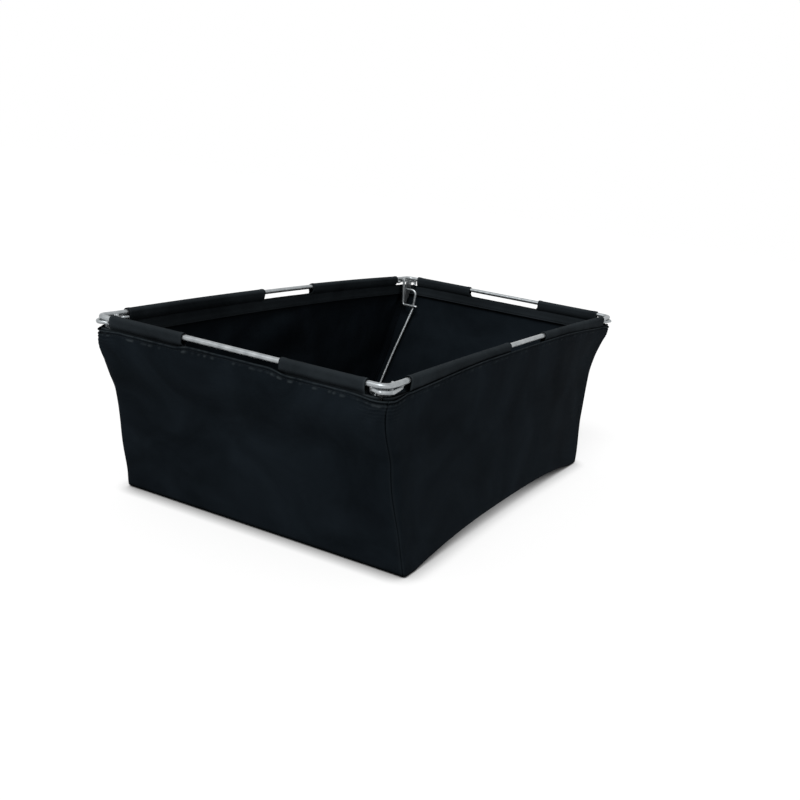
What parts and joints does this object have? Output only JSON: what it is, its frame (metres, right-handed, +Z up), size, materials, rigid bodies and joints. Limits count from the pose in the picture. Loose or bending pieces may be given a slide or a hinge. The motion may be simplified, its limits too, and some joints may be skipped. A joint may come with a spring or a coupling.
{
  "type": "shredder collection box",
  "caption": "Foldable open-topped collection box: a black sewn fabric bag hung on a zinc-plated wire ring, stood up by folding U-shaped wire leg frames.",
  "frame": {"origin": "on the floor, under the middle of the box", "axes": "+X across the short side, +Y along the long side from front to rear, +Z up"},
  "size_m": [0.37, 0.7322, 0.2204],
  "materials": {
    "zinc_wire": "zinc-plated drawn steel wire, satin grey",
    "zinc_sheet": "zinc-plated pressed steel sheet",
    "woven_fabric": "black coated woven polyester, plain weave, matt"
  },
  "bodies": {
    "basket": {"ring_frame": "zinc_wire", "corner_wire_front_left": "zinc_wire", "corner_wire_front_right": "zinc_wire", "corner_wire_rear_left": "zinc_wire", "corner_wire_rear_right": "zinc_wire", "latch_wire_front_left": "zinc_wire", "latch_wire_front_right": "zinc_wire", "latch_wire_rear_left": "zinc_wire", "latch_wire_rear_right": "zinc_wire", "pivot_plate_front_left": "zinc_sheet", "pivot_plate_front_right": "zinc_sheet", "pivot_plate_rear_left": "zinc_sheet", "pivot_plate_rear_right": "zinc_sheet", "front_panel": "woven_fabric", "right_panel": "woven_fabric", "rear_panel": "woven_fabric", "left_panel": "woven_fabric", "base_panel": "woven_fabric", "front_band": "woven_fabric", "right_band": "woven_fabric", "rear_band": "woven_fabric", "left_band": "woven_fabric", "front_sleeve_left": "woven_fabric", "front_sleeve_right": "woven_fabric", "right_sleeve_front": "woven_fabric", "right_sleeve_rear": "woven_fabric", "rear_sleeve_right": "woven_fabric", "rear_sleeve_left": "woven_fabric", "left_sleeve_rear": "woven_fabric", "left_sleeve_front": "woven_fabric"},
    "front_legs": {"leg_frame_front": "zinc_wire"},
    "rear_legs": {"leg_frame_rear": "zinc_wire"}
  },
  "joints": [
    {"name": "front_leg_fold", "type": "hinge", "parent": "basket", "child": "front_legs", "pos_m": [0, -0.346, 0.199], "axis": [1, 0, 0], "range_deg": [0, 70], "deforming": ["latch_wire_front_left", "latch_wire_front_right"]},
    {"name": "rear_leg_fold", "type": "hinge", "parent": "basket", "child": "rear_legs", "pos_m": [0, 0.346, 0.199], "axis": [-1, 0, 0], "range_deg": [0, 70], "deforming": ["latch_wire_rear_left", "latch_wire_rear_right"]}
  ]
}
